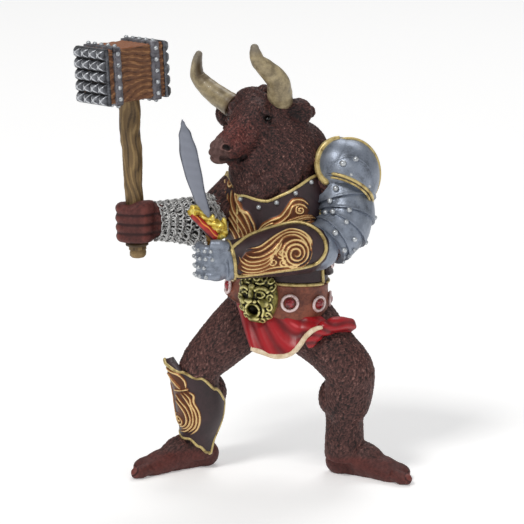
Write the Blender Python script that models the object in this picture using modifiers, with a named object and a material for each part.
"""Minotaur figurine: a moulded bull-headed warrior that grips a war hammer and a short sword.

The figure stands on its two flat soles. Lengths are in metres. The figure's own form is
written in its own measure, in which the sole is at 0 and the horn tips are at 110.5, and
HORN_HEIGHT turns that measure into a real size. +X is to the figure's left as the viewer
sees it, -Y is towards the viewer and +Z is up.
"""

import math

import bmesh
import bpy
from mathutils import Matrix, Vector

# Driving dimensions
HORN_HEIGHT = 0.1105
HAMMER_LENGTH = 0.0188
HAMMER_WIDTH = 0.0134
HAMMER_DEPTH = 0.0135
HAMMER_BAND_WIDTH = 0.0024
HAMMER_BAND_RISE = 0.0004
HAMMER_SPIKE_HEIGHT = 0.0012
HAMMER_REACH = 0.0309
HAMMER_TAIL = 0.0090
HANDLE_RADIUS = 0.0021
HANDLE_TOP_RADIUS = 0.0027
BLADE_LENGTH = 0.0262
BLADE_WIDTH = 0.0044
BLADE_THICKNESS = 0.0011
GUARD_LENGTH = 0.0122
GUARD_THICKNESS = 0.0034
GRIP_RADIUS = 0.0013
GRIP_LENGTH = 0.0095
CLEARANCE = 0.0003

# Figure proportions
MEASURED_HEIGHT = 110.5
UNIT = HORN_HEIGHT / MEASURED_HEIGHT
TORSO_TURN = math.radians(28)
HEAD_TURN = math.radians(48)
BODY_TRIANGLES = 3400
FIGURE_TRIANGLES = 7800
SKIN_VOXEL = 0.5 * UNIT
SKIN_SMOOTHING = 5


def at(x, y, z):
    """A point of the figure, from its own measure to metres."""
    return Vector((x, y, z)) * UNIT


class Limb:
    """A run of oval sections along a bent axis, with a surface that plates can follow.

    Each section is a centre, a half width along the side axis and a half depth along the
    front axis. A place along the limb is a section number, whole or between two.
    """

    def __init__(self, sections, side, front):
        self.sections = sections
        self.side = Vector(side)
        self.front = Vector(front)
        self.last = len(sections) - 1

    def values(self, place):
        """The centre and half sizes at a place, on a smooth curve through the sections."""
        place = min(max(place, 0.0), self.last)
        first = min(int(place), self.last - 1)
        share = place - first
        picks = [min(max(first + step, 0), self.last) for step in (-1, 0, 1, 2)]
        rows = [[*self.sections[i][0], self.sections[i][1], self.sections[i][2]] for i in picks]
        result = []
        for before, start, end, after in zip(*rows):
            slope = (end - before) / 2
            next_slope = (after - start) / 2
            cubic = 2 * start - 2 * end + slope + next_slope
            square = 3 * end - 3 * start - 2 * slope - next_slope
            result.append(((cubic * share + square) * share + slope) * share + start)
        return Vector(result[:3]), result[3], result[4]

    def axes(self, place):
        """The limb's centre, side axis, front axis and half sizes at a place."""
        centre, width, depth = self.values(place)
        ahead = self.values(place + 0.05)[0] - self.values(place - 0.05)[0]
        along = ahead.normalized()
        side = (self.side - along * self.side.dot(along)).normalized()
        front = side.cross(along)
        if front.dot(self.front) < 0:
            front = -front
        return centre, side, front, width, depth

    def point(self, place, angle, lift=0.0):
        """A point on the surface. Angle 0 is the front and 90 the side, and lift is outwards."""
        centre, side, front, width, depth = self.axes(place)
        across, forward = math.sin(math.radians(angle)), math.cos(math.radians(angle))
        normal = Vector((across * depth, forward * width)).normalized()
        return (
            centre
            + side * (width * across + lift * normal.x)
            + front * (depth * forward + lift * normal.y)
        ) * UNIT


def turned(direction, angle):
    """A level direction turned about the vertical."""
    return Matrix.Rotation(angle, 3, "Z") @ Vector(direction)


TORSO = Limb(
    [
        (Vector((2.5, 2.0, 36.0)), 8.5, 6.5),
        (Vector((2.8, 1.2, 41.0)), 12.6, 8.6),
        (Vector((3.8, 0.5, 46.5)), 12.6, 9.2),
        (Vector((4.3, 0.5, 54.5)), 11.3, 8.6),
        (Vector((3.2, 0.5, 62.0)), 12.2, 9.4),
        (Vector((2.6, 0.8, 69.5)), 12.6, 9.8),
        (Vector((4.0, 2.0, 76.0)), 12.0, 9.4),
        (Vector((5.5, 3.2, 81.5)), 9.0, 8.6),
    ],
    side=turned((1, 0, 0), -TORSO_TURN),
    front=turned((0, -1, 0), -TORSO_TURN),
)
NECK = Limb(
    [
        (Vector((5.0, 1.5, 73.5)), 10.6, 9.0),
        (Vector((4.6, 0.6, 79.0)), 10.8, 9.6),
        (Vector((3.4, -0.2, 85.0)), 10.0, 9.2),
        (Vector((1.6, 0.2, 91.0)), 8.2, 8.2),
        (Vector((0.6, 1.0, 95.0)), 6.4, 6.4),
    ],
    side=turned((1, 0, 0), -TORSO_TURN),
    front=turned((0, -1, 0), -TORSO_TURN),
)
FACE = Limb(
    [
        (Vector((1.4, 1.6, 93.6)), 7.0, 5.4),
        (Vector((-2.2, -2.0, 92.2)), 7.1, 6.2),
        (Vector((-4.8, -4.8, 90.2)), 5.9, 5.6),
        (Vector((-7.2, -7.4, 88.0)), 4.7, 4.4),
        (Vector((-9.0, -9.3, 86.4)), 4.3, 3.9),
        (Vector((-10.2, -10.5, 85.5)), 3.5, 3.1),
    ],
    side=turned((1, 0, 0), -HEAD_TURN),
    front=(0, 0, 1),
)
RIGHT_LEG = Limb(
    [
        (Vector((-1.0, 2.6, 42.5)), 7.4, 7.4),
        (Vector((-5.2, 2.8, 38.6)), 7.2, 7.4),
        (Vector((-10.4, 2.6, 33.6)), 6.4, 7.0),
        (Vector((-15.0, 2.4, 28.6)), 5.5, 6.0),
        (Vector((-16.2, 3.4, 24.0)), 5.2, 5.6),
        (Vector((-15.6, 5.0, 18.6)), 5.2, 5.6),
        (Vector((-16.2, 6.8, 11.6)), 3.9, 4.3),
        (Vector((-16.4, 7.8, 6.6)), 3.9, 4.3),
        (Vector((-16.0, 8.4, 3.0)), 3.6, 4.0),
    ],
    side=(1, 0, 0),
    front=(0, -1, 0),
)
SHIN = Limb(
    [
        (Vector((-16.2, 8.2, 3.0)), 3.7, 4.1),
        (Vector((-16.2, 7.2, 9.0)), 4.0, 4.4),
        (Vector((-15.7, 5.6, 16.0)), 5.3, 5.7),
        (Vector((-16.2, 4.0, 23.0)), 5.5, 5.8),
        (Vector((-17.8, 3.2, 28.0)), 5.0, 5.4),
        (Vector((-19.4, 3.0, 33.0)), 4.4, 5.0),
    ],
    side=(1, 0, 0),
    front=(0, -1, 0),
)
LEFT_LEG = Limb(
    [
        (Vector((7.0, 1.0, 42.5)), 7.8, 7.6),
        (Vector((11.5, -0.8, 39.4)), 7.8, 7.8),
        (Vector((17.2, -4.2, 34.2)), 6.4, 7.1),
        (Vector((21.6, -5.8, 29.2)), 6.3, 6.5),
        (Vector((22.0, -4.8, 25.2)), 6.1, 6.2),
        (Vector((21.2, -2.0, 19.8)), 6.1, 6.3),
        (Vector((20.9, -0.4, 14.6)), 4.8, 5.2),
        (Vector((20.9, 0.6, 9.6)), 4.9, 5.3),
        (Vector((20.7, 1.4, 4.6)), 4.9, 5.2),
    ],
    side=(1, 0, 0),
    front=(0, -1, 0),
)
RIGHT_ARM = Limb(
    [
        (Vector((-5.5, 3.0, 73.0)), 5.4, 5.4),
        (Vector((-9.4, 2.2, 69.4)), 5.2, 5.2),
        (Vector((-13.2, -0.8, 66.4)), 4.9, 4.9),
        (Vector((-17.0, -3.6, 66.4)), 4.9, 4.9),
        (Vector((-22.4, -6.2, 67.0)), 4.1, 4.1),
        (Vector((-26.6, -8.0, 67.2)), 3.7, 3.9),
    ],
    side=(0, 0, 1),
    front=(0, -1, 0),
)
LEFT_ARM = Limb(
    [
        (Vector((15.0, 0.5, 77.5)), 6.4, 6.4),
        (Vector((19.0, -0.4, 74.5)), 6.8, 6.8),
        (Vector((20.6, -2.6, 69.4)), 6.6, 6.8),
        (Vector((19.6, -5.4, 64.8)), 6.2, 6.4),
        (Vector((15.6, -8.4, 61.6)), 5.6, 5.6),
    ],
    side=(1, 0, 0),
    front=(0, -1, 0),
)
FOREARM = Limb(
    [
        (Vector((17.4, -8.0, 60.6)), 3.8, 3.6),
        (Vector((14.6, -9.2, 61.0)), 5.4, 4.8),
        (Vector((9.8, -11.4, 61.2)), 5.8, 5.0),
        (Vector((3.6, -13.6, 60.6)), 5.4, 4.8),
        (Vector((-2.4, -15.2, 59.8)), 4.6, 4.4),
        (Vector((-6.8, -16.2, 59.2)), 4.2, 4.1),
    ],
    side=(0, 0, 1),
    front=(0, -1, 0),
)


def clear_scene():
    """Removes what the startup scene holds."""
    for obj in list(bpy.data.objects):
        bpy.data.objects.remove(obj)


def collection(name, hidden=False):
    """A collection in the scene, left out of renders where it only holds shapes to join."""
    made = bpy.data.collections.new(name)
    bpy.context.scene.collection.children.link(made)
    made.hide_render = hidden
    return made


def from_bmesh(name, bm, where):
    """A mesh object from a bmesh, with its faces pointing out."""
    bmesh.ops.recalc_face_normals(bm, faces=bm.faces)
    mesh = bpy.data.meshes.new(name)
    bm.to_mesh(mesh)
    bm.free()
    obj = bpy.data.objects.new(name, mesh)
    where.objects.link(obj)
    return obj


def baked(obj):
    """The object with its modifiers, or its curve, made into a plain mesh."""
    graph = bpy.context.evaluated_depsgraph_get()
    mesh = bpy.data.meshes.new_from_object(obj.evaluated_get(graph))
    if obj.type == "MESH":
        obj.modifiers.clear()
        obj.data = mesh
        return obj
    made = bpy.data.objects.new(obj.name + ".mesh", mesh)
    made.matrix_world = obj.matrix_world.copy()
    obj.users_collection[0].objects.link(made)
    bpy.data.objects.remove(obj)
    bm = bmesh.new()
    bm.from_mesh(mesh)
    bmesh.ops.remove_doubles(bm, verts=bm.verts, dist=1e-6)
    bmesh.ops.recalc_face_normals(bm, faces=bm.faces)
    bm.to_mesh(mesh)
    bm.free()
    return made


def sleeve(name, where, limb, start=0.0, end=None, lift=None, sides=14, steps=2.0):
    """A closed body round a stretch of a limb. lift(share, angle) stands it off the limb."""
    end = limb.last if end is None else end
    count = max(2, round((end - start) * steps))
    bm = bmesh.new()
    angle_of = bm.verts.layers.float.new("angle")
    ring = bmesh.ops.create_circle(bm, cap_ends=True, segments=sides, radius=1)["verts"]
    for i, vert in enumerate(ring):
        vert[angle_of] = 360.0 * i / sides
    cap = bm.verts[:] + bm.edges[:] + bm.faces[:]
    for i in range(count + 1):
        if i:
            cap = bmesh.ops.extrude_face_region(bm, geom=cap)["geom"]
            ring = [item for item in cap if isinstance(item, bmesh.types.BMVert)]
        share = i / count
        for vert in ring:
            rise = lift(share, vert[angle_of]) if lift else 0.0
            vert.co = limb.point(start + (end - start) * share, vert[angle_of], rise)
    return from_bmesh(name, bm, where)


def ball(name, where, centre, radii, turn=0.0, lean=0.0, segments=12):
    """An oval ball, turned about the vertical after it leans in the XZ plane."""
    bm = bmesh.new()
    sizes = Matrix.Diagonal((*radii, 1.0))
    bmesh.ops.create_uvsphere(
        bm, u_segments=segments, v_segments=max(6, segments * 2 // 3), radius=1.0, matrix=sizes
    )
    spin = Matrix.Rotation(turn, 4, "Z") @ Matrix.Rotation(lean, 4, "Y")
    place = Matrix.Translation(Vector(centre) * UNIT) @ spin @ Matrix.Scale(UNIT, 4)
    bmesh.ops.transform(bm, matrix=place, verts=bm.verts)
    return from_bmesh(name, bm, where)


def tube(name, where, points, radius, radii=None, roundness=0):
    """A rod through points in metres. radii are shares of the radius, point by point."""
    data = bpy.data.curves.new(name, "CURVE")
    data.dimensions = "3D"
    data.bevel_depth = radius
    data.bevel_resolution = roundness
    data.use_fill_caps = True
    spline = data.splines.new("POLY")
    spline.points.add(len(points) - 1)
    for i, point in enumerate(points):
        spline.points[i].co = (*point, 1.0)
        spline.points[i].radius = radii[i] if radii else 1.0
    obj = bpy.data.objects.new(name, data)
    where.objects.link(obj)
    return baked(obj)


def plate(name, where, corner, columns, rows):
    """A closed curved plate. corner(x, y, outer) places it for x and y from 0 to 1."""
    bm = bmesh.new()
    bmesh.ops.create_grid(bm, x_segments=columns, y_segments=rows, size=0.5)
    grown = bmesh.ops.extrude_face_region(bm, geom=bm.faces[:])["geom"]
    for item in grown:
        if isinstance(item, bmesh.types.BMVert):
            item.co.z = 1.0
    for vert in bm.verts:
        vert.co = corner(vert.co.x + 0.5, vert.co.y + 0.5, vert.co.z > 0.5)
    return from_bmesh(name, bm, where)


def between(stops, value):
    """A smooth run through (value, result) stops."""
    for (low, start), (high, end) in zip(stops, stops[1:]):
        if value <= high:
            share = min(max((value - low) / (high - low), 0.0), 1.0)
            return start + (end - start) * share * share * (3 - 2 * share)
    return stops[-1][1]


def place_at_height(limb, height):
    """The place where a limb's centre has this height, in the figure's measure."""
    low, high = 0.0, float(limb.last)
    rising = limb.values(high)[0].z > limb.values(low)[0].z
    for _ in range(24):
        middle = (low + high) / 2
        if (limb.values(middle)[0].z < height) == rising:
            low = middle
        else:
            high = middle
    return (low + high) / 2


def spiral(limb, place, angle, reach, turns, lift, start_turn=0.0, flip=1, count=22):
    """Points of a scroll on a limb: it starts at its eye and opens out to its reach."""
    along = (limb.point(place + 0.1, angle) - limb.point(place - 0.1, angle)).length / 0.2
    around = (limb.point(place, angle + 5) - limb.point(place, angle - 5)).length / 10
    points = []
    for i in range(count):
        share = i / (count - 1)
        swing = 2 * math.pi * (start_turn + flip * turns * share)
        radius = reach * UNIT * (0.12 + 0.88 * share)
        points.append(
            limb.point(
                place + radius * math.cos(swing) / along,
                angle + radius * math.sin(swing) / around,
                lift,
            )
        )
    return points


def join(base, pieces, operation="UNION", solver="EXACT"):
    """One body from a base and the closed pieces that overlap it, or are cut from it."""
    for piece in pieces:
        modifier = base.modifiers.new(piece.name, "BOOLEAN")
        modifier.operation = operation
        modifier.solver = solver
        modifier.object = piece
    made = baked(base)
    for piece in pieces:
        bpy.data.objects.remove(piece)
    return made


def fewer_faces(obj, triangles):
    """The same surface with about this many triangles."""
    count = sum(len(face.vertices) - 2 for face in obj.data.polygons)
    few = obj.modifiers.new("few faces", "DECIMATE")
    few.ratio = min(1.0, triangles / count)
    obj = baked(obj)
    bm = bmesh.new()
    bm.from_mesh(obj.data)
    flaps = [face for face in bm.faces if any(edge.is_boundary for edge in face.edges)]
    bmesh.ops.delete(bm, geom=flaps, context="FACES")
    bmesh.ops.delete(bm, geom=[edge for edge in bm.edges if edge.is_wire], context="EDGES")
    bmesh.ops.delete(bm, geom=[vert for vert in bm.verts if not vert.link_faces], context="VERTS")
    bm.to_mesh(obj.data)
    bm.free()
    return obj


def without_pockets(obj):
    """Fills the closed pockets left between joined pieces, so that one outer surface is left."""
    bm = bmesh.new()
    bm.from_mesh(obj.data)
    seen, shells = set(), []
    for start in bm.faces:
        if start in seen:
            continue
        seen.add(start)
        shell = [start]
        for face in shell:
            for edge in face.edges:
                for other in edge.link_faces:
                    if other not in seen:
                        seen.add(other)
                        shell.append(other)
        shells.append(shell)
    shells.sort(key=len)
    bmesh.ops.delete(bm, geom=sum(shells[:-1], []), context="FACES")
    bm.to_mesh(obj.data)
    bm.free()
    return obj


# The war hammer: a banded oak block with studded faces on a knotty handle
FIST = at(-31.0, -9.2, 67.2)
HAMMER_LEAN = math.radians(-3)
HAMMER_TURN = math.radians(38)
SPIKE_ROWS = 5
SPIKE_COLUMNS = 4
BAND_INSET = 0.19
KNOB_DROP = 0.0055


def hammer_frame():
    """Takes the hammer's own frame, with its handle up Z and its block along X, to the fist."""
    lean = Matrix.Rotation(HAMMER_LEAN, 4, "Y") @ Matrix.Rotation(HAMMER_TURN, 4, "Z")
    return Matrix.Translation(FIST) @ lean


def handle(name, where, low, high, grow=0.0, stops=10):
    """The handle between two heights, a little thicker towards the block and not quite even."""
    points, radii = [], []
    for i in range(stops + 1):
        height = low + (high - low) * i / stops
        share = min(max(height / HAMMER_REACH, 0.0), 1.0)
        sway = 0.0002 * math.sin(5.0 * share * math.pi) * share
        points.append(hammer_frame() @ Vector((sway, 0, height)))
        radii.append(HANDLE_RADIUS + (HANDLE_TOP_RADIUS - HANDLE_RADIUS) * share + grow)
    return tube(name, where, points, 1.0, radii, roundness=2)


def block(name, where, size, centre, bevel):
    """A box in the hammer's frame, with its long edges eased."""
    bm = bmesh.new()
    frame = hammer_frame() @ Matrix.Translation(centre) @ Matrix.Diagonal((*size, 1.0))
    bmesh.ops.create_cube(bm, size=1.0, matrix=frame)
    bmesh.ops.bevel(
        bm,
        geom=bm.edges[:],
        offset=bevel,
        segments=1,
        affect="EDGES",
        profile=0.5,
        material=-1,
    )
    return from_bmesh(name, bm, where)


def spikes(where, centre):
    """The rows of pyramids on both striking faces."""
    made = []
    wide = HAMMER_WIDTH * 0.92 / SPIKE_COLUMNS
    tall = HAMMER_DEPTH * 0.92 / SPIKE_ROWS
    for end in (-1, 1):
        bm = bmesh.new()
        for row in range(SPIKE_ROWS):
            for column in range(SPIKE_COLUMNS):
                spot = Vector(
                    (
                        end * (HAMMER_LENGTH / 2 + HAMMER_SPIKE_HEIGHT * 0.35),
                        (column - (SPIKE_COLUMNS - 1) / 2) * wide,
                        (row - (SPIKE_ROWS - 1) / 2) * tall,
                    )
                )
                turn = Matrix.Rotation(end * math.pi / 2, 4, "Y")
                square = Matrix.Rotation(math.pi / 4, 4, "Z")
                stretch = Matrix.Diagonal((tall * 0.68, wide * 0.68, 1.0, 1.0))
                bmesh.ops.create_cone(
                    bm,
                    cap_ends=True,
                    segments=4,
                    radius1=1.0,
                    radius2=0.18,
                    depth=HAMMER_SPIKE_HEIGHT * 1.3,
                    matrix=hammer_frame()
                    @ Matrix.Translation(centre + spot)
                    @ turn
                    @ stretch
                    @ square,
                )
        made.append(from_bmesh("spikes", bm, where))
    return made


def war_hammer(where, scraps):
    """The hammer as one solid."""
    centre = Vector((0, 0, HAMMER_REACH + HAMMER_DEPTH / 2))
    oak = block(
        "war_hammer", where, (HAMMER_LENGTH, HAMMER_WIDTH, HAMMER_DEPTH), centre, HAMMER_WIDTH * 0.06
    )
    pieces = []
    for end in (-1, 1):
        ring = Vector((end * HAMMER_LENGTH * (0.5 - BAND_INSET), 0, 0))
        size = (
            HAMMER_BAND_WIDTH,
            HAMMER_WIDTH + 2 * HAMMER_BAND_RISE,
            HAMMER_DEPTH + 2 * HAMMER_BAND_RISE,
        )
        pieces.append(block("band", scraps, size, centre + ring, HAMMER_WIDTH * 0.05))
    pieces += spikes(scraps, centre)
    pieces.append(handle("shaft", scraps, -KNOB_DROP - 0.0012, HAMMER_REACH + 0.002))
    knob = [hammer_frame() @ Vector((0, 0, -h)) for h in (KNOB_DROP, KNOB_DROP + 0.0012)]
    pieces.append(tube("knob_ring", scraps, knob, HANDLE_RADIUS * 1.32, roundness=2))
    tail = [hammer_frame() @ Vector((0, 0, -h)) for h in (KNOB_DROP + 0.0007, HAMMER_TAIL - 0.0006, HAMMER_TAIL)]
    pieces.append(tube("knob_end", scraps, tail, HANDLE_RADIUS, [0.9, 1.08, 0.6], roundness=3))
    return join(oak, pieces, solver="MANIFOLD")


# The short sword: a leaf-shaped blade on a slanting boat-shaped guard
SWORD_GRIP_TOP = at(-13.2, -17.2, 68.6)
SWORD_GRIP_LEAN = math.radians(-12)
BLADE_LEAN = math.radians(-13.5)
GUARD_LEAN = math.radians(42)
BLADE_SHAPE = [(0.0, 0.62), (0.25, 0.72), (0.5, 0.95), (0.68, 1.0), (0.85, 0.72), (0.96, 0.25), (1.0, 0.06)]


def lean_in_view(angle):
    """A direction that leans from upright, in the XZ plane."""
    return Vector((math.sin(angle), 0, math.cos(angle)))


def blade(name, where):
    """A flat diamond-section blade."""
    bm = bmesh.new()
    half = Matrix.Diagonal((BLADE_WIDTH / 2, BLADE_THICKNESS / 2, 1, 1))
    lean = Matrix.Translation(SWORD_GRIP_TOP) @ Matrix.Rotation(BLADE_LEAN, 4, "Y")
    side_of = bm.verts.layers.float_vector.new("side")
    ring = bmesh.ops.create_circle(bm, cap_ends=True, segments=4, radius=1)["verts"]
    for vert in ring:
        vert[side_of] = vert.co
    cap = bm.verts[:] + bm.edges[:] + bm.faces[:]
    for i, (share, width) in enumerate(BLADE_SHAPE):
        if i:
            cap = bmesh.ops.extrude_face_region(bm, geom=cap)["geom"]
            ring = [item for item in cap if isinstance(item, bmesh.types.BMVert)]
        sweep = BLADE_WIDTH * 0.12 * math.sin(math.pi * share)
        for vert in ring:
            spread = half @ (Vector(vert[side_of]) * width)
            vert.co = lean @ (spread + Vector((-sweep, 0, BLADE_LENGTH * share)))
    return from_bmesh(name, bm, where)


def hilt(name, where, grow=0.0):
    """The guard and grip, also used a clearance larger to seat them in the gauntlet."""
    along = lean_in_view(GUARD_LEAN + math.pi / 2)
    guard_points = [SWORD_GRIP_TOP + along * GUARD_LENGTH * s for s in (-0.5, -0.3, 0.0, 0.3, 0.5)]
    guard = tube(
        name,
        where,
        guard_points,
        GUARD_THICKNESS / 2 + grow,
        [0.55, 0.9, 1.0, 1.0, 0.8],
        roundness=1,
    )
    down = -lean_in_view(SWORD_GRIP_LEAN)
    grip_points = [SWORD_GRIP_TOP, SWORD_GRIP_TOP + down * (GRIP_LENGTH + grow)]
    grip = tube("grip", where, grip_points, GRIP_RADIUS + grow, roundness=1)
    return join(guard, [grip])


def short_sword(where, scraps):
    """The sword as one solid."""
    return join(blade("short_sword", where), [hilt("hilt", scraps)])


# The figure's own body: fur, face, hands and feet as one modelled skin
HORN_LEFT = [(4.4, -3.0, 95.6), (5.3, -5.4, 98.6), (4.9, -7.6, 102.2), (1.7, -9.2, 106.2), (-1.0, -9.6, 109.4)]
HORN_RIGHT = [(-7.0, 4.8, 93.4), (-10.6, 7.2, 95.6), (-14.4, 9.0, 98.4), (-16.4, 8.2, 102.2), (-16.2, 4.8, 107.0)]
HORN_RADII = [3.3, 3.1, 2.75, 2.0, 1.25]
TOE_RADII = [1.75, 1.35, 1.25, 1.15, 1.1]
FINGER_LIFTS = [3.6, 1.25, -1.1, -3.4]


def smooth_path(points, steps=4):
    """More points on a smooth curve through a few."""
    path = []
    for i in range(len(points) - 1):
        picks = [Vector(points[min(max(i + step, 0), len(points) - 1)]) for step in (-1, 0, 1, 2)]
        for step in range(steps):
            share = step / steps
            slope = (picks[2] - picks[0]) / 2
            next_slope = (picks[3] - picks[1]) / 2
            cubic = 2 * picks[1] - 2 * picks[2] + slope + next_slope
            square = 3 * picks[2] - 3 * picks[1] - 2 * slope - next_slope
            path.append(((cubic * share + square) * share + slope) * share + picks[1])
    return path + [Vector(points[-1])]


def horn(name, where, points):
    """A horn that tapers to a blunt tip."""
    steps = 3
    path = [point * UNIT for point in smooth_path(points, steps)]
    radii = [row.x * UNIT for row in smooth_path([(r, 0, 0) for r in HORN_RADII], steps)]
    tip = (path[-1] - path[-2]).normalized()
    path += [path[-1] + tip * radii[-1] * 0.6, path[-1] + tip * radii[-1] * 0.95]
    radii += [radii[-1] * 0.78, radii[-1] * 0.4]
    return tube(name, where, path, 1.0, radii, roundness=2)


def foot(where, heel, toe, width, lead_side):
    """Heel, instep and five toes on a flat sole. lead_side is +1 where the big toe is on the left of its walk."""
    heel, toe = Vector(heel), Vector(toe)
    ahead = (toe - heel).normalized()
    left = Vector((-ahead.y, ahead.x, 0))
    turn = math.atan2(ahead.y, ahead.x)
    length = (toe - heel).length
    made = [
        ball("heel", where, heel + Vector((0, 0, 3.0)), (4.0, width * 0.86, 3.6), turn),
        ball("instep", where, heel + ahead * length * 0.34 + Vector((0, 0, 4.2)), (6.6, width * 0.92, 4.4), turn, 0.42),
        ball("arch", where, heel + ahead * length * 0.56 + Vector((0, 0, 2.6)), (6.6, width, 3.2), turn, 0.2),
        ball("tread", where, heel + ahead * length * 0.72 + Vector((0, 0, 1.6)), (4.8, width * 1.08, 2.4), turn),
    ]
    for i, radius in enumerate(TOE_RADII):
        across = lead_side * (width * 0.78 - i * width * 0.42)
        reach = length * (0.93 - 0.028 * i * i * 0.55)
        centre = heel + ahead * reach + left * across + Vector((0, 0, radius * 0.86))
        made.append(ball("toe", where, centre, (radius * 1.5, radius, radius), turn, 0.12, segments=10))
    return made


def fingers(where):
    """Four fingers wrapped round the hammer's handle."""
    made = []
    grip = HANDLE_RADIUS / UNIT + 1.5
    centre = FIST / UNIT
    for i, lift in enumerate(FINGER_LIFTS):
        points, radii = [], []
        for step in range(9):
            swing = math.radians(15 - 250 * step / 8)
            bulge = grip * (1.06 if step in (2, 5) else 1.0)
            points.append(
                (centre + Vector((bulge * math.cos(swing), bulge * math.sin(swing), lift))) * UNIT
            )
            radii.append(1.45 - 0.05 * i - (0.35 if step == 8 else 0.0))
        made.append(tube("finger", where, points, UNIT, radii, roundness=2))
    return made


def skin_pieces(where):
    """The overlapping forms under the fur."""
    made = [
        sleeve("trunk", where, TORSO),
        sleeve("neck", where, NECK),
        sleeve("muzzle", where, FACE),
        sleeve("right_leg", where, RIGHT_LEG),
        sleeve("left_leg", where, LEFT_LEG),
        sleeve("right_arm", where, RIGHT_ARM),
        sleeve("left_arm", where, LEFT_ARM),
        sleeve("forearm", where, FOREARM),
    ]
    turn = -HEAD_TURN
    made += [
        ball("hump", where, (7.6, 4.4, 81.5), (8.6, 8.0, 8.4), turn),
        ball("right_shoulder", where, (-7.6, 3.0, 70.2), (5.6, 5.6, 5.4)),
        ball("dewlap", where, (0.2, -4.4, 76.4), (6.8, 5.0, 6.2), turn, 0.3),
        ball("throat", where, (-1.2, -3.8, 82.6), (6.6, 6.0, 5.4), turn, 0.4),
        ball("left_cheek", where, (1.4, -5.6, 88.8), (4.6, 3.4, 4.4), turn),
        ball("right_cheek", where, (-5.8, 0.4, 88.4), (4.2, 3.4, 4.2), turn),
        ball("jaw", where, (-4.6, -5.2, 83.2), (5.2, 3.6, 2.1), turn, -0.12),
        ball("chin", where, (-7.7, -8.0, 82.2), (1.9, 2.5, 1.7), turn),
        ball("nose_pad", where, (-10.4, -10.5, 86.0), (2.0, 3.9, 2.5), turn, 0.5),
        ball("upper_lip", where, (-9.9, -10.0, 84.3), (2.4, 3.6, 1.4), turn, 0.1),
        ball("left_brow", where, (0.6, -6.6, 94.4), (2.8, 1.7, 1.5), turn, 0.5),
        ball("right_brow", where, (-7.6, 0.0, 93.2), (2.4, 1.7, 1.6), turn, 0.5),
        ball("left_eye", where, (0.9, -7.4, 92.6), (1.3, 1.3, 1.2)),
        ball("poll", where, (-2.2, 1.2, 97.2), (5.4, 6.0, 3.2), turn, 0.15),
        ball("right_horn_root", where, (-6.2, 4.6, 93.8), (3.6, 3.6, 3.6)),
        ball("left_horn_root", where, (3.6, -2.6, 94.6), (3.4, 3.4, 3.6)),
        ball("right_buttock", where, (-2.6, 6.2, 40.4), (6.4, 5.0, 6.0)),
        ball("left_buttock", where, (8.6, 3.6, 40.4), (6.4, 5.0, 6.0)),
        ball("left_knee", where, (22.8, -8.6, 27.2), (3.9, 3.4, 3.8)),
        ball("left_calf", where, (20.2, 0.6, 20.6), (4.8, 4.2, 5.4)),
        ball("right_calf", where, (-13.6, 6.4, 20.0), (4.6, 4.6, 5.4)),
        ball("palm", where, (-28.6, -8.4, 67.2), (4.0, 3.6, 5.2)),
        ball("thumb", where, (-29.6, -12.4, 70.9), (3.6, 1.6, 1.5)),
        ball("gauntlet", where, (-11.2, -16.8, 58.9), (4.4, 4.5, 5.0)),
    ]
    made += foot(where, (-14.8, 9.4, 0), (-33.4, -1.2, 0), 3.7, 1)
    made += foot(where, (20.0, 2.6, 0), (37.8, -6.4, 0), 4.1, -1)
    made += fingers(where)
    for i, (turn_ear, root, tip) in enumerate(
        [(0, (6.2, -2.0, 93.6), (12.4, 0.6, 92.8)), (0, (-6.4, 6.8, 91.6), (-9.6, 11.0, 89.8))]
    ):
        root, tip = Vector(root), Vector(tip)
        path = [root + (tip - root) * s for s in (0.0, 0.25, 0.55, 0.8, 1.0)]
        made.append(
            tube("ear", where, [p * UNIT for p in path], UNIT, [1.6, 2.8, 3.2, 2.6, 1.2], roundness=2)
        )
    return made


def curls(where):
    """Locks on the poll and the throat."""
    made = []
    for i in range(14):
        row, step = divmod(i, 5)
        swing = math.radians(-90 + 40 * step + 20 * row)
        centre = Vector((-3.4 - 0.6 * row, 0.0 - 1.6 * row, 97.9 - 1.9 * row))
        spot = centre + turned((0, math.sin(swing) * (4.8 + 0.6 * row), 0), -HEAD_TURN)
        made.append(ball("curl", where, spot, (1.5, 1.5, 1.2), segments=8))
    return made


def skin(where, scraps):
    """One closed surface over the overlapping forms, with few faces."""
    pieces = skin_pieces(scraps) + curls(scraps)
    bm = bmesh.new()
    for piece in pieces:
        bm.from_mesh(piece.data)
        bpy.data.objects.remove(piece)
    body = from_bmesh("minotaur_figure", bm, where)
    remesh = body.modifiers.new("one skin", "REMESH")
    remesh.mode = "VOXEL"
    remesh.voxel_size = SKIN_VOXEL
    smooth = body.modifiers.new("eased creases", "SMOOTH")
    smooth.factor = 0.5
    smooth.iterations = SKIN_SMOOTHING
    return fewer_faces(baked(body), BODY_TRIANGLES)


# Armour, belt, skirt and trims, each moulded on the body they cover
PLATE_RISE = 1.0
PLATE_SINK = -1.6
TRIM_RADIUS = 0.42 * UNIT
SCROLL_RADIUS = 0.5 * UNIT
BELT_LOW, BELT_HIGH = 44.4, 51.4
WAIST_LOW, WAIST_HIGH = 51.6, 58.4
NECKLINE = [(-85, 78.0), (-44, 76.6), (10, 73.0), (50, 75.6), (86, 79.0)]
GEM_ANGLES = (-46, 46, 92, 150, 210, 262)
MASK_ANGLE = 0
SKIRT_START, SKIRT_START_HEM, SKIRT_END = -36, -14, 232
SKIRT_HEM = [
    (-36, 35.8), (-10, 35.2), (8, 33.6), (24, 34.0), (36, 37.6), (50, 41.4),
    (64, 42.4), (84, 41.0), (104, 38.6), (134, 34.6), (180, 32.6), (232, 34.6),
]
SKIRT_FLARE = [
    (-36, 2.2), (0, 3.4), (26, 3.4), (46, 3.6), (64, 5.4), (84, 7.4), (106, 6.6), (134, 5.0), (180, 4.6), (232, 3.6),
]
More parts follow.
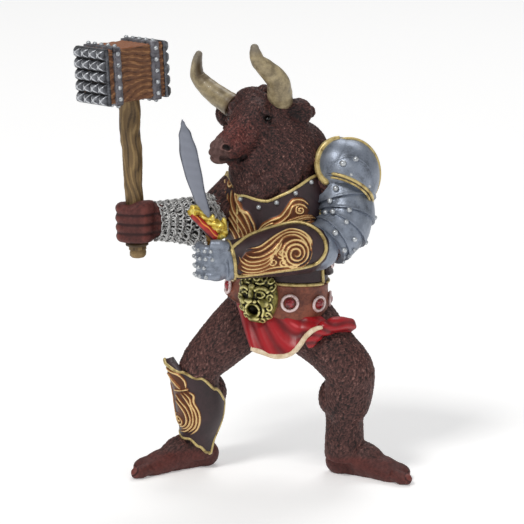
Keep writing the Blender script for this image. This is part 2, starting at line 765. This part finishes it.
SKIRT_THICKNESS = 1.1


def line_on(limb, places, lift=0.0):
    """Points on a limb from (place, angle) pairs."""
    return [limb.point(place, angle, lift) for place, angle in places]


def trim(where, points, radius=TRIM_RADIUS):
    """A raised gold edge."""
    return tube("trim", where, points, radius)


def torso_angles(low, high, count):
    """Evenly spaced angles, ends included."""
    return [low + (high - low) * i / (count - 1) for i in range(count)]


def belt_and_waist(where):
    """The leather belt, and the dark waist band above it with its two gold edges."""
    belt_from, belt_to = (place_at_height(TORSO, h) for h in (BELT_LOW, BELT_HIGH))
    waist_from, waist_to = (place_at_height(TORSO, h) for h in (WAIST_LOW, WAIST_HIGH))

    def belt_rise(share, angle):
        return 1.1 - 0.5 * (2 * share - 1) ** 4

    made = [
        sleeve("belt", where, TORSO, belt_from, belt_to, belt_rise, sides=24, steps=3),
        sleeve("waist", where, TORSO, waist_from, waist_to, lambda share, angle: 1.3, sides=24, steps=2),
    ]
    for place, rise in ((waist_from, 1.4), (waist_to, 1.4)):
        ring = [(place, angle) for angle in torso_angles(-92, 96, 16)]
        made.append(trim(where, line_on(TORSO, ring, rise)))
    side = [(waist_from + (waist_to - waist_from) * s, 96) for s in (0, 0.5, 1)]
    made.append(trim(where, line_on(TORSO, side, 1.5)))
    return made


def gem(where, limb, place, angle, lift, radius=1.75):
    """A ruby in a round silver collet."""
    outside = limb.point(place, angle, lift + 1.0)
    inside = limb.point(place, angle, lift - 1.0)
    out = (outside - inside).normalized()
    centre = limb.point(place, angle, lift)
    collet = tube("collet", where, [centre - out * 0.001, centre + out * 0.0006], radius * UNIT, roundness=2)
    stone = ball("ruby", where, centre / UNIT + out * 0.45, (radius * 0.62,) * 3, segments=8)
    return [collet, stone]


def grotesque(where):
    """The snarling mask of the buckle: brow, eyes, flat nose, open mouth, chin and curls."""
    place = place_at_height(TORSO, 48.4)
    root = TORSO.point(place, MASK_ANGLE, 0.9) / UNIT
    front = turned((0, -1, 0), -TORSO_TURN)
    side = turned((1, 0, 0), -TORSO_TURN)
    up = Vector((0, 0, 1))
    turn = -TORSO_TURN

    def spot(across, height, out):
        return root + side * across + up * height + front * out

    made = [
        ball("mask", where, spot(0, 0.4, 0.2), (4.7, 2.6, 5.4), turn),
        ball("mask_chin", where, spot(0, -4.8, 0.6), (2.6, 2.0, 1.9), turn),
        ball("mask_nose", where, spot(0, 0.2, 2.9), (1.15, 1.1, 1.9), turn, segments=8),
        ball("mask_lip", where, spot(0, -3.9, 2.3), (1.9, 0.9, 0.7), turn, segments=8),
    ]
    for way in (-1, 1):
        made += [
            ball("mask_brow", where, spot(way * 1.9, 2.6, 2.3), (1.9, 0.9, 0.75), turn, way * 0.35, segments=8),
            ball("mask_cheek", where, spot(way * 2.4, -1.0, 2.0), (1.5, 1.1, 1.5), turn, segments=8),
        ]
    for i in range(7):
        swing = math.radians(-75 + 25 * i)
        curl = spot(4.1 * math.sin(swing), 0.6 + 4.7 * math.cos(swing), 1.1)
        made.append(ball("mask_curl", where, curl, (1.15, 1.0, 1.15), turn, segments=8))
    return made


def mask_mouth(where):
    """What is cut from the mask for its open mouth and its eyes."""
    place = place_at_height(TORSO, 48.4)
    front = turned((0, -1, 0), -TORSO_TURN)
    side = turned((1, 0, 0), -TORSO_TURN)
    root = TORSO.point(place, MASK_ANGLE, 0.9) / UNIT + front * 3.1
    made = [ball("mouth", where, root - Vector((0, 0, 2.5)), (1.25, 1.2, 0.95), -TORSO_TURN, segments=8)]
    for way in (-1, 1):
        eye = root + side * way * 1.75 + Vector((0, 0, 1.35))
        made.append(ball("eye_hollow", where, eye, (0.75, 0.9, 0.5), -TORSO_TURN, segments=8))
    return made


def cuirass(where):
    """Breastplate and back plate, with the neckline's gold edge, studs and two scrolls."""
    low = place_at_height(TORSO, WAIST_HIGH - 0.6)
    rib = place_at_height(TORSO, 66.0)

    def corner(start, end, top):
        def place_corner(x, y, outer):
            angle = start + (end - start) * x
            high = place_at_height(TORSO, top(angle))
            place = low + (high - low) * y
            return TORSO.point(place, angle, PLATE_RISE if outer else PLATE_SINK)

        return place_corner

    made = [
        sleeve("ribs", where, TORSO, low, rib, lambda share, angle: 0.9, sides=24, steps=2),
        plate("breast", where, corner(-60, 88, lambda angle: between(NECKLINE, angle)), 12, 6),
        plate("back", where, corner(112, 252, lambda angle: 76.5), 10, 5),
    ]
    neck = [
        (place_at_height(TORSO, between(NECKLINE, angle)), angle) for angle in torso_angles(-60, 88, 16)
    ]
    made.append(trim(where, line_on(TORSO, neck, PLATE_RISE)))
    for angle, bottom in ((88, 67), (-60, 66)):
        top = between(NECKLINE, angle)
        edge = [(place_at_height(TORSO, top + (bottom - top) * s), angle) for s in (0, 0.33, 0.67, 1)]
        made.append(trim(where, line_on(TORSO, edge, PLATE_RISE)))
    for angle in (-38, -14, 12, 36, 62):
        place = place_at_height(TORSO, between(NECKLINE, angle) - 1.9)
        made.append(ball("stud", where, TORSO.point(place, angle, PLATE_RISE + 0.1) / UNIT, (0.6,) * 3, segments=6))
    for height, angle, reach, flip in ((71.0, -36, 3.4, 1), (71.2, 54, 3.0, -1), (67.0, 24, 2.4, 1)):
        place = place_at_height(TORSO, height)
        points = spiral(TORSO, place, angle, reach, 1.6, PLATE_RISE + 0.1, flip=flip, count=18)
        made.append(tube("scroll", where, points, SCROLL_RADIUS))
    for shift in (0, 7, 14):
        left = [(place_at_height(TORSO, 73.5 - 2.6 * s), -52 + shift + 8.5 * s) for s in range(5)]
        made.append(tube("scroll_stem", where, line_on(TORSO, left, PLATE_RISE), SCROLL_RADIUS))
    return made


def skirt(where):
    """The wrap of cloth under the belt, split at the right thigh, with deep folds."""

    def corner(x, y, outer):
        angle = SKIRT_START + (SKIRT_END - SKIRT_START) * x
        start_slip = (SKIRT_START_HEM - SKIRT_START) * y * max(0.0, 1 - x * 6)
        angle += start_slip
        hem = between(SKIRT_HEM, angle)
        fold = 0.9 * y * math.sin(math.radians(angle * 7.5 + 50 * y))
        out = 0.5 + between(SKIRT_FLARE, angle) * y**1.15 + fold
        top = TORSO.point(place_at_height(TORSO, 45.6), angle, out - (0 if outer else SKIRT_THICKNESS))
        return top + Vector((0, 0, (hem - 45.6) * y)) * UNIT

    def hem_line(x):
        return (corner(x, 1.0, True) + corner(x, 1.0, False)) / 2

    made = [plate("cloth", where, corner, 44, 5)]
    made.append(tube("hem", where, [hem_line(i / 44) for i in range(45)], 0.72 * UNIT))
    return made


def dome_edge(centre, radii, normal, offset, keep, count=40):
    """Points of the round edge where a plane cuts an oval dome, where keep(point) is true."""
    sized = Vector([n * r for n, r in zip(normal, radii)])
    height = offset / sized.length
    axis = sized.normalized()
    across = axis.orthogonal().normalized()
    other = axis.cross(across)
    ring = math.sqrt(max(0.0, 1 - height * height))
    points = []
    for i in range(count):
        swing = 2 * math.pi * i / count
        unit = axis * height + (across * math.cos(swing) + other * math.sin(swing)) * ring
        points.append(Vector(centre) + Vector([u * r for u, r in zip(unit, radii)]))
    kept = [keep(point) for point in points]
    start = next(i for i in range(count) if kept[i] and not kept[i - 1])
    run = []
    for i in range(count):
        if not kept[(start + i) % count]:
            break
        run.append(points[(start + i) % count] * UNIT)
    return run


PAULDRON_CENTRE = Vector((21.2, -1.4, 77.4))
PAULDRON_RADII = (8.0, 8.6, 9.4)
NECK_CUT = Vector((-0.78, 0.52, 0.34)).normalized()
NECK_CUT_OFFSET = 4.2
ARM_CUT = Vector((-0.50, -0.50, -0.70)).normalized()
ARM_CUT_OFFSET = 1.6


def pauldron(where):
    """The shoulder dome, cut by two planes with a gold edge on each, and its overlapping arm plates."""
    dome = ball("pauldron", where, PAULDRON_CENTRE, PAULDRON_RADII, segments=22)
    bm = bmesh.new()
    bm.from_mesh(dome.data)
    for normal, offset in ((NECK_CUT, NECK_CUT_OFFSET), (ARM_CUT, ARM_CUT_OFFSET)):
        cut = bmesh.ops.bisect_plane(
            bm,
            geom=bm.verts[:] + bm.edges[:] + bm.faces[:],
            plane_co=(PAULDRON_CENTRE + normal * offset) * UNIT,
            plane_no=normal,
            clear_outer=True,
        )
        edges = [item for item in cut["geom_cut"] if isinstance(item, bmesh.types.BMEdge)]
        bmesh.ops.contextual_create(bm, geom=edges)
    bm.to_mesh(dome.data)
    bm.free()

    def above_arm_cut(point):
        return (point - PAULDRON_CENTRE).dot(ARM_CUT) < ARM_CUT_OFFSET

    def outside_neck_cut(point):
        return (point - PAULDRON_CENTRE).dot(NECK_CUT) < NECK_CUT_OFFSET

    made = [dome]
    neck_edge = dome_edge(PAULDRON_CENTRE, PAULDRON_RADII, NECK_CUT, NECK_CUT_OFFSET, above_arm_cut)
    arm_edge = dome_edge(PAULDRON_CENTRE, PAULDRON_RADII, ARM_CUT, ARM_CUT_OFFSET, outside_neck_cut)
    made += [tube("neck_rim", where, neck_edge, 0.95 * UNIT), trim(where, arm_edge)]
    lames = [(0.9, 2.0, 1.0), (1.7, 2.7, 0.7), (2.4, 3.4, 0.5), (3.1, 4.0, 0.3)]
    for start, end, rise in lames:
        made.append(
            sleeve(
                "arm_plate",
                where,
                LEFT_ARM,
                start,
                end,
                lambda share, angle, rise=rise: rise + 0.6 * (1 - share) - 0.2,
                sides=18,
                steps=2.5,
            )
        )
    for place, angle in ((1.5, -40), (2.2, -38), (2.9, -30), (3.3, 40), (2.0, 30), (2.6, 40)):
        made.append(ball("rivet", where, LEFT_ARM.point(place, angle, 0.9) / UNIT, (0.7,) * 3, segments=6))
    return made


def vambrace(where):
    """The forearm guard with its gold edges and its large scroll, and the studded gauntlet."""
    made = [
        sleeve("vambrace", where, FOREARM, 0.25, 4.6, lambda share, angle: 0.7, sides=18, steps=2.5),
    ]
    outline = []
    for i in range(26):
        swing = 2 * math.pi * i / 26
        outline.append((2.4 + 2.1 * math.cos(swing), 8 + 62 * math.sin(swing)))
    outline.append(outline[0])
    made.append(trim(where, line_on(FOREARM, outline[:-1] + [outline[0]], 0.75)[:-1]))
    for place, angle, reach, flip in ((1.5, 6, 3.9, 1), (3.2, -4, 3.0, -1), (4.1, -16, 1.7, 1)):
        points = spiral(FOREARM, place, angle, reach, 1.9, 0.75, flip=flip, count=22)
        made.append(tube("scroll", where, points, SCROLL_RADIUS))
    cuff = [FOREARM.point(4.7, angle, 0.6) for angle in range(0, 360, 30)]
    centre = sum(cuff, Vector()) / len(cuff)
    made.append(ball("cuff", where, centre / UNIT, (2.4, 4.6, 5.0)))
    knuckles = Vector((-11.2, -16.8, 58.9))
    for row in range(4):
        for column in range(2):
            swing = math.radians(200 + 26 * column)
            tip = Vector((4.4 * math.cos(swing), 4.5 * math.sin(swing), 3.0 - 2.2 * row))
            made.append(ball("stud", where, knuckles + tip * 0.97, (0.62,) * 3, segments=6))
    return made


def mail_sleeve(where):
    """The mail over the right elbow and forearm, with a knobbly surface for its rings."""

    def rise(share, angle):
        knob = 1 if (round(angle / 18) + round(share * 14)) % 2 else 0
        return 0.5 + 0.35 * knob

    return [sleeve("mail", where, RIGHT_ARM, 1.9, 4.75, rise, sides=20, steps=5)]


GREAVE_TOP = [(-190, 23.0), (-150, 25.0), (-92, 31.2), (0, 25.6), (84, 20.6)]
GREAVE_BOTTOM = [(-190, 7.4), (-90, 9.8), (-15, 8.6), (58, 4.4), (84, 6.4)]
GREAVE_START, GREAVE_END = -190, 84


def greave(where):
    """The shin guard: flared and pointed over the knee, open behind, with a gold edge and a scroll."""

    def surface(x, y, lift):
        angle = GREAVE_START + (GREAVE_END - GREAVE_START) * x
        low, high = between(GREAVE_BOTTOM, angle), between(GREAVE_TOP, angle)
        height = low + (high - low) * y
        facing = max(0.0, math.cos(math.radians(angle + 85)))
        flare = 0.8 * facing**2 * y**4
        return SHIN.point(place_at_height(SHIN, height), angle, lift + flare)

    def corner(x, y, outer):
        return surface(x, y, 0.9 if outer else PLATE_SINK)

    made = [plate("greave", where, corner, 20, 7)]
    edge = [surface(i / 20, 1.0, 0.7) for i in range(21)]
    edge += [surface(1.0, 1 - i / 5, 0.7) for i in range(1, 6)]
    edge += [surface(1 - i / 20, 0.0, 0.7) for i in range(1, 21)]
    edge += [surface(0.0, i / 5, 0.7) for i in range(1, 5)]
    made.append(trim(where, edge))
    for height, angle, reach, flip in ((14.0, -62, 3.3, 1), (21.5, -66, 2.5, -1)):
        place = place_at_height(SHIN, height)
        points = spiral(SHIN, place, angle, reach, 1.7, 0.95, flip=flip, count=16)
        made.append(tube("scroll", where, points, SCROLL_RADIUS))
    return made


SOLE_BLOCK = 200.0


def minotaur_figure(where, scraps):
    """The figure as one solid, with the seats for the hammer and the sword cut from its fists."""
    body = skin(where, scraps)
    pieces = [horn("horn", scraps, HORN_LEFT), horn("horn", scraps, HORN_RIGHT)]
    pieces += belt_and_waist(scraps) + cuirass(scraps) + skirt(scraps) + grotesque(scraps)
    pieces += pauldron(scraps) + vambrace(scraps) + mail_sleeve(scraps) + greave(scraps)
    belt_middle = place_at_height(TORSO, (BELT_LOW + BELT_HIGH) / 2)
    for angle in GEM_ANGLES:
        pieces += gem(scraps, TORSO, belt_middle, angle, 1.1)
    pieces += gem(scraps, TORSO, place_at_height(TORSO, 55.0), 104, 1.6, radius=1.5)
    body = without_pockets(join(body, pieces, solver="MANIFOLD"))
    body = fewer_faces(body, FIGURE_TRIANGLES)
    bm = bmesh.new()
    below = Matrix.Translation((0, 0, -SOLE_BLOCK / 2 * UNIT)) @ Matrix.Scale(SOLE_BLOCK * UNIT, 4)
    bmesh.ops.create_cube(bm, size=1.0, matrix=below)
    cuts = [from_bmesh("ground", bm, scraps)]
    cuts.append(handle("handle_seat", scraps, -KNOB_DROP - 0.0014, 0.012, CLEARANCE))
    cuts.append(hilt("hilt_seat", scraps, CLEARANCE))
    cuts += mask_mouth(scraps)
    return without_pockets(join(body, cuts, "DIFFERENCE", "MANIFOLD"))


PAINTS = {
    "minotaur_figure": ((0.16, 0.07, 0.055), 0.6, 0.0),
    "war_hammer": ((0.30, 0.17, 0.09), 0.6, 0.0),
    "short_sword": ((0.36, 0.38, 0.42), 0.4, 0.6),
}


def paint(obj):
    """The part's main colour, roughness and metallic value."""
    colour, roughness, metallic = PAINTS[obj.name]
    material = bpy.data.materials.new(obj.name)
    material.use_nodes = True
    shader = material.node_tree.nodes["Principled BSDF"]
    shader.inputs["Base Color"].default_value = (*colour, 1.0)
    shader.inputs["Roughness"].default_value = roughness
    shader.inputs["Metallic"].default_value = metallic
    obj.data.materials.clear()
    obj.data.materials.append(material)


def centre_on_origin(parts):
    """Moves the parts together so that the origin is under the middle of their box."""
    corners = [vert.co for part in parts for vert in part.data.vertices]
    low = Vector([min(corner[i] for corner in corners) for i in range(3)])
    high = Vector([max(corner[i] for corner in corners) for i in range(3)])
    middle = (low + high) / 2
    stand = bpy.data.objects.new("minotaur", None)
    stand.location = (-middle.x, -middle.y, -low.z)
    bpy.context.scene.collection.objects.link(stand)
    for part in parts:
        part.parent = stand
    print("centre shift mm", [round(v * 1000, 3) for v in stand.location])


def main():
    clear_scene()
    parts = collection("minotaur figurine")
    scraps = collection("shapes to join", hidden=True)
    made = [
        minotaur_figure(parts, scraps),
        war_hammer(parts, scraps),
        short_sword(parts, scraps),
    ]
    for obj in made:
        paint(obj)
    centre_on_origin(made)


main()
